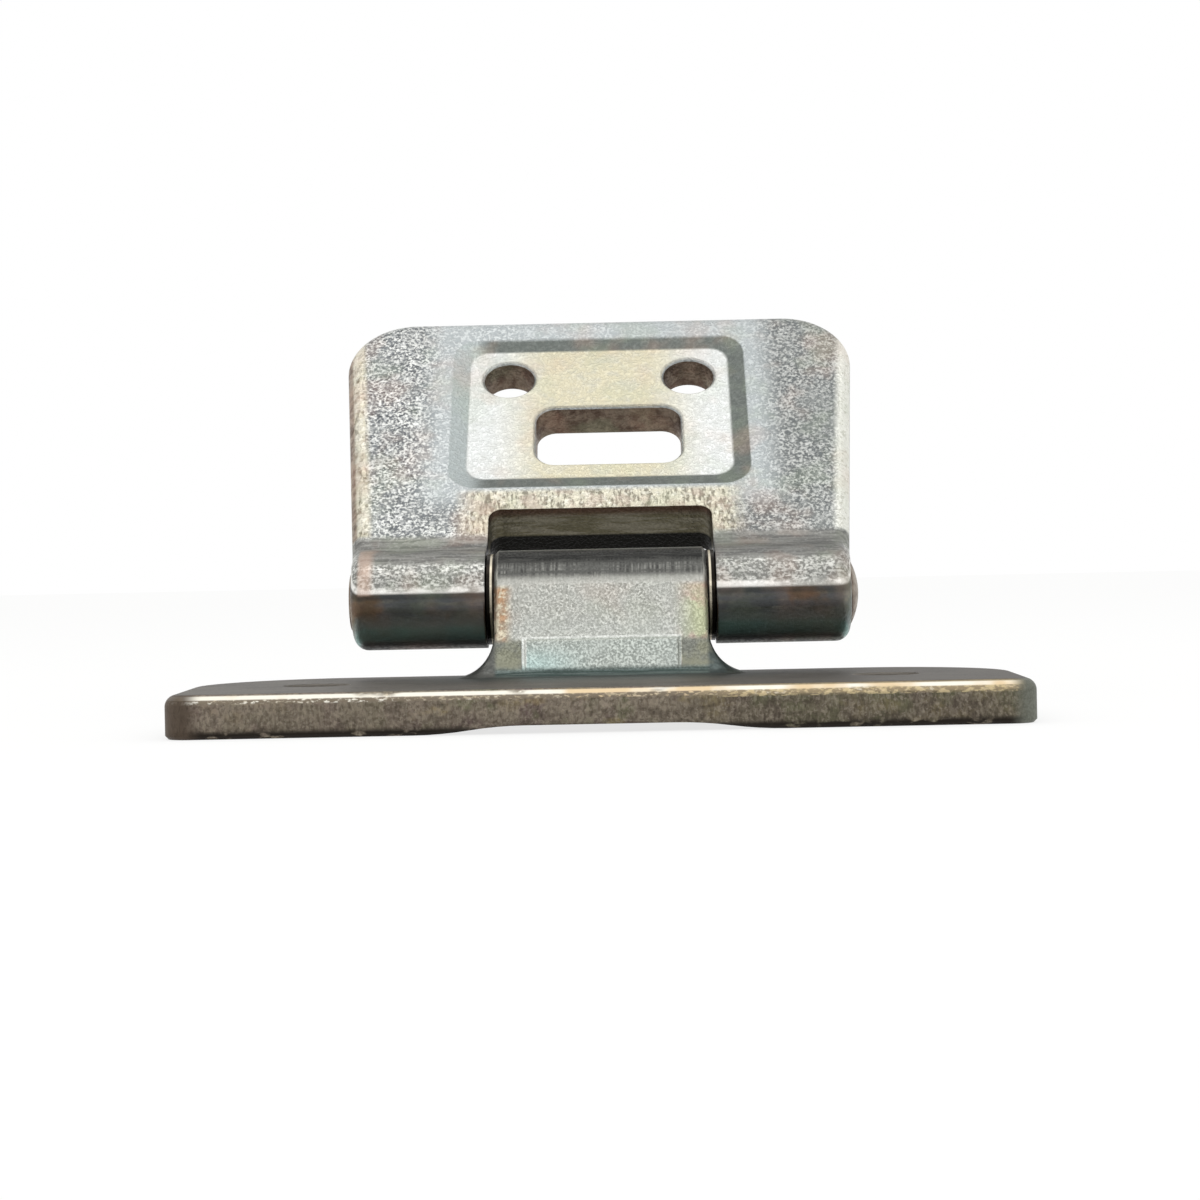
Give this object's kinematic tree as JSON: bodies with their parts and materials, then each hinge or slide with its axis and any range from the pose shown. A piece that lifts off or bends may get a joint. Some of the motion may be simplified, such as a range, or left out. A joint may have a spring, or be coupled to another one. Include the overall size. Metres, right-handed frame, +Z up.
{
  "type": "tailgate hinge",
  "caption": "Forged tailgate hinge: a wide flat body leaf with a centre eye and a window-cut tailgate leaf with outer eyes, joined by a headed pin in flanged bushes.",
  "frame": {"origin": "middle of the body leaf's two bolt holes, on the underside of its plate", "axes": "+X along the pin towards its head, -Y towards the body plate's front edge, +Z up from the body plate"},
  "size_m": [0.1294, 0.0992, 0.0689],
  "materials": {
    "body_leaf_zinc": "worn zinc plate on forged steel",
    "tailgate_leaf_zinc": "mottled zinc plate on forged steel",
    "pin_steel": "plain steel with a brown tarnish",
    "bush_bronze": "dull bearing bronze"
  },
  "bodies": {
    "body_side": {"body_leaf": "body_leaf_zinc", "bush_left": "bush_bronze", "bush_right": "bush_bronze"},
    "tailgate_side": {"tailgate_leaf": "tailgate_leaf_zinc", "hinge_pin": "pin_steel"}
  },
  "joints": [
    {"name": "hinge", "type": "hinge", "parent": "body_side", "child": "tailgate_side", "pos_m": [0, 0.025, 0.019], "axis": [1, 0, 0], "range_deg": [-50, 60]}
  ]
}
